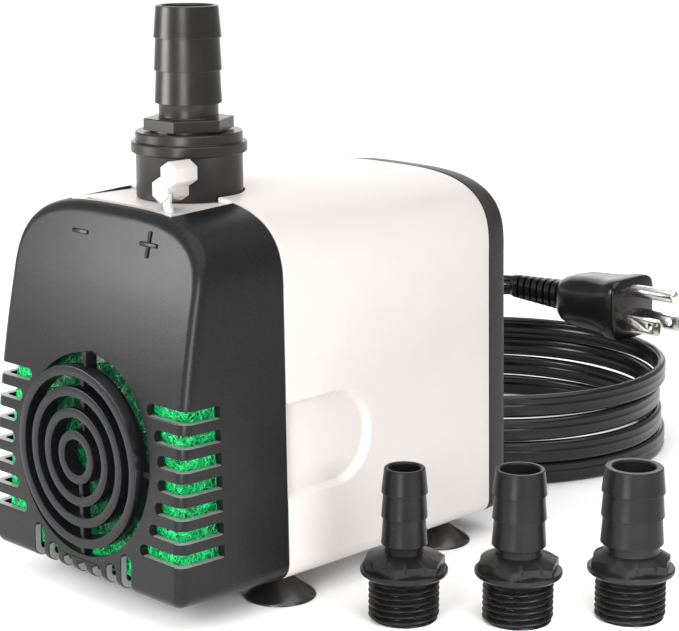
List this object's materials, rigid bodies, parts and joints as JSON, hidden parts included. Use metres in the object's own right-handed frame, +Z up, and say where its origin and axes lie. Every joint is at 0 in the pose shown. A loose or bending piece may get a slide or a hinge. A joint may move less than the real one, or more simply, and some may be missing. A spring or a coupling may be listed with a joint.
{
  "type": "fountain submersible pump",
  "caption": "Submersible fountain pump with strainer cover, filter pad, flow lever, hose adapter, suction feet, spare adapters and a coiled mains cord with plug.",
  "frame": {"origin": "on the floor under the middle of the pump's body, in the plane that the four suction cups stand on", "axes": "+X to the pump's right-hand side, +Y from the strainer towards the rear cover, +Z up"},
  "size_m": [0.2324, 0.2891, 0.1732],
  "materials": {
    "charcoal_plastic": "fine moulded texture",
    "white_plastic": "satin",
    "black_plastic": "satin",
    "lever_white": "matte",
    "rubber": "matte",
    "filter_green": "coarse open fibre",
    "iron": "laminated",
    "copper": "enamelled wire",
    "nylon": "matte",
    "resin": "cast",
    "ferrite": "sintered",
    "ceramic": "ground",
    "cord_black": "glossy",
    "brass": "plated"
  },
  "bodies": {
    "pump": {"motor_housing": "white_plastic", "rear_cover": "charcoal_plastic", "suction_cup_front_right": "rubber", "suction_cup_front_left": "rubber", "suction_cup_rear_right": "rubber", "suction_cup_rear_left": "rubber", "rotor_well": "nylon", "stator_core": "iron", "coil_bobbin_left": "nylon", "coil_bobbin_right": "nylon", "stator_coil_left": "copper", "stator_coil_right": "copper", "potting_resin": "resin", "rotor_shaft": "ceramic", "shaft_bush_front": "rubber", "shaft_bush_rear": "rubber", "pump_chamber": "white_plastic", "chamber_seal": "rubber", "chamber_cover": "nylon", "outlet_collar": "black_plastic", "cord_gland": "rubber", "cord_lead": "cord_black", "cord_coil": "cord_black", "cord_tail": "cord_black", "plug_strain_relief": "cord_black", "plug_body": "cord_black", "plug_blade_left": "brass", "plug_blade_right": "brass", "plug_ground_pin": "brass"},
    "cover": {"front_cover": "charcoal_plastic", "filter_sponge": "filter_green"},
    "rotor": {"rotor_magnet": "ferrite", "impeller": "nylon"},
    "lever": {"flow_lever": "lever_white"},
    "gasket": {"outlet_gasket": "rubber"},
    "adapter": {"outlet_adapter": "black_plastic"},
    "spare_small": {"spare_adapter_small": "black_plastic"},
    "spare_medium": {"spare_adapter_medium": "black_plastic"},
    "spare_large": {"spare_adapter_large": "black_plastic"}
  },
  "joints": [
    {"name": "cover_slide", "type": "slide", "parent": "pump", "child": "cover", "axis": [0, -1, 0], "range_m": [0, 0.045]},
    {"name": "rotor_spin", "type": "hinge", "parent": "pump", "child": "rotor", "pos_m": [0, 0, 0.046], "axis": [0, -1, 0], "continuous": true},
    {"name": "flow_lever_slide", "type": "slide", "parent": "pump", "child": "lever", "axis": [1, 0, 0], "range_m": [-0.032, 0]},
    {"name": "adapter_rise", "type": "slide", "parent": "pump", "child": "gasket", "axis": [0, 0, 1], "range_m": [0, 0.00725]},
    {"name": "adapter_turn", "type": "hinge", "parent": "gasket", "child": "adapter", "pos_m": [0, -0.0261, 0.13], "axis": [0, 0, 1], "range_deg": [0, 1440]},
    {"name": "spare_small_lift", "type": "slide", "parent": "pump", "child": "spare_small", "axis": [0, 0, 1], "range_m": [0, 0.05]},
    {"name": "spare_medium_lift", "type": "slide", "parent": "pump", "child": "spare_medium", "axis": [0, 0, 1], "range_m": [0, 0.05]},
    {"name": "spare_large_lift", "type": "slide", "parent": "pump", "child": "spare_large", "axis": [0, 0, 1], "range_m": [0, 0.05]}
  ],
  "couplings": [
    {"joint": "adapter_turn", "follows": "adapter_rise", "rad_per_m": 3463.7}
  ]
}
